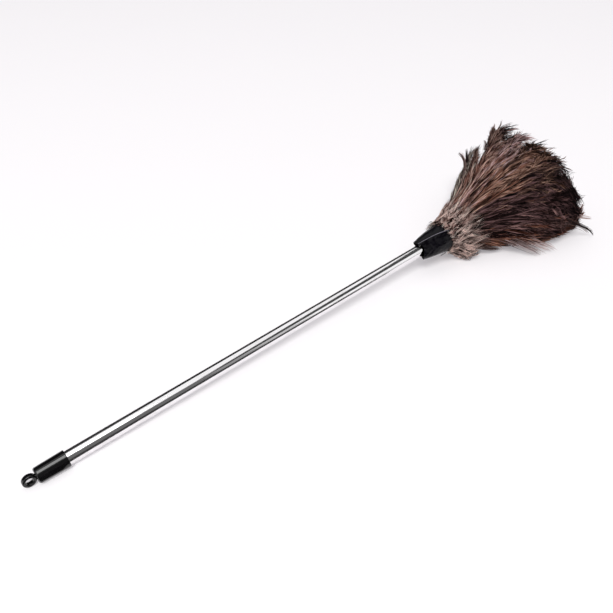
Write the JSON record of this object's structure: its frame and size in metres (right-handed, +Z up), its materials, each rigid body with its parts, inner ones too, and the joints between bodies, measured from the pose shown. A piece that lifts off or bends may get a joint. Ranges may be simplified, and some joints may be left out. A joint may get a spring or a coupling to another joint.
{
  "type": "ostrich feather duster",
  "caption": "Long-handled feather duster: a polished steel tube with a hanging eyelet cap, and a bound fan of ostrich plumes in a flared black cuff.",
  "frame": {"origin": "centre of the footprint on the floor that the duster lies on", "axes": "+X along the handle towards the plumes, +Z up from the floor"},
  "size_m": [1.1936, 0.2626, 0.1898],
  "materials": {
    "polished_steel": "polished stainless steel",
    "black_plastic": "glossy black",
    "black_leathercloth": "semi-gloss black leathercloth",
    "beech": "turned, unfinished",
    "waxed_thread": "waxed linen thread",
    "binding_steel": "drawn wire",
    "ostrich_plume": "soft barbs, brown and charcoal with paler down"
  },
  "bodies": {
    "duster": {"handle_tube": "polished_steel", "cuff": "black_leathercloth", "wood_core": "beech", "core_nail": "binding_steel", "binding_wire": "binding_steel", "thread_binding_1": "waxed_thread", "thread_binding_2": "waxed_thread", "thread_binding_3": "waxed_thread", "plume_inner_01": "ostrich_plume", "plume_inner_02": "ostrich_plume", "plume_inner_03": "ostrich_plume", "plume_inner_04": "ostrich_plume", "plume_inner_05": "ostrich_plume", "plume_inner_06": "ostrich_plume", "plume_second_01": "ostrich_plume", "plume_second_02": "ostrich_plume", "plume_second_03": "ostrich_plume", "plume_second_04": "ostrich_plume", "plume_second_05": "ostrich_plume", "plume_second_06": "ostrich_plume", "plume_second_07": "ostrich_plume", "plume_second_08": "ostrich_plume", "plume_second_09": "ostrich_plume", "plume_second_10": "ostrich_plume", "plume_third_01": "ostrich_plume", "plume_third_02": "ostrich_plume", "plume_third_03": "ostrich_plume", "plume_third_04": "ostrich_plume", "plume_third_05": "ostrich_plume", "plume_third_06": "ostrich_plume", "plume_third_07": "ostrich_plume", "plume_third_08": "ostrich_plume", "plume_third_09": "ostrich_plume", "plume_third_10": "ostrich_plume", "plume_third_11": "ostrich_plume", "plume_third_12": "ostrich_plume", "plume_third_13": "ostrich_plume", "plume_third_14": "ostrich_plume", "plume_outer_01": "ostrich_plume", "plume_outer_02": "ostrich_plume", "plume_outer_03": "ostrich_plume", "plume_outer_04": "ostrich_plume", "plume_outer_05": "ostrich_plume", "plume_outer_06": "ostrich_plume", "plume_outer_07": "ostrich_plume", "plume_outer_08": "ostrich_plume", "plume_outer_09": "ostrich_plume", "plume_outer_10": "ostrich_plume", "plume_outer_11": "ostrich_plume", "plume_outer_12": "ostrich_plume", "plume_outer_13": "ostrich_plume", "plume_outer_14": "ostrich_plume", "plume_outer_15": "ostrich_plume", "plume_outer_16": "ostrich_plume", "plume_outer_17": "ostrich_plume", "plume_outer_18": "ostrich_plume"},
    "end_cap": {"end_cap": "black_plastic"}
  },
  "joints": [
    {"name": "end_cap_twist", "type": "hinge", "parent": "duster", "child": "end_cap", "pos_m": [-0.53085, 0.00261, 0.01433], "axis": [0.9986, 0, 0.0523], "continuous": true}
  ]
}
